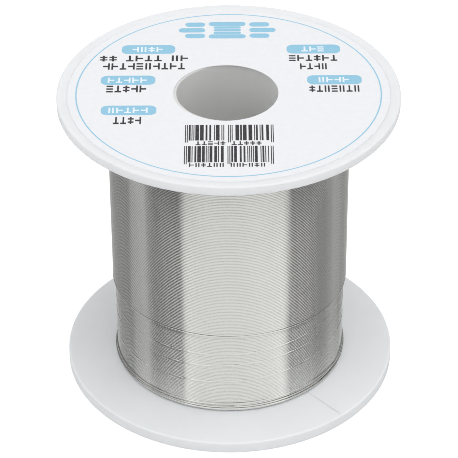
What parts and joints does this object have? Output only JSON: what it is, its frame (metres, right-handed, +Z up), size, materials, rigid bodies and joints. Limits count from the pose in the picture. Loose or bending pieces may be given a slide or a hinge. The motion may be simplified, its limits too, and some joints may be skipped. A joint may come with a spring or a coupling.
{
  "type": "solder wire spool",
  "caption": "Flanged plastic spool on a hollow hub, wound in layers with thin solder wire; round label on top, and a loose wire end that lifts.",
  "frame": {"origin": "centre of the face the spool rests on, on the axis of the bore", "axes": "+Z up along the axis of the bore, towards the labelled flange; +Y towards the top of the label's print"},
  "size_m": [0.063, 0.063, 0.0598],
  "materials": {
    "white_plastic": "satin moulded white plastic, slightly translucent",
    "grey_plastic": "satin light grey plastic",
    "label_paper": "smooth coated paper, printed in light blue and dark grey",
    "solder": "bright drawn solder wire"
  },
  "bodies": {
    "spool": {"lower_flange": "white_plastic", "upper_flange": "white_plastic", "barrel": "white_plastic", "hub_tube": "grey_plastic", "label": "label_paper", "wire_layer_1": "solder", "wire_layer_2": "solder", "wire_layer_3": "solder", "wire_layer_4": "solder", "wire_layer_5": "solder", "wire_layer_6": "solder", "wire_layer_7": "solder", "wire_layer_8": "solder", "wire_edge_turns": "solder", "wire_crossover_turns": "solder"},
    "free_end": {"wire_free_end": "solder"}
  },
  "joints": [
    {"name": "free_end_lift", "type": "hinge", "parent": "spool", "child": "free_end", "pos_m": [0.0113, 0.01958, 0.0214], "axis": [0, 0, -1], "range_deg": [0, 70]}
  ]
}
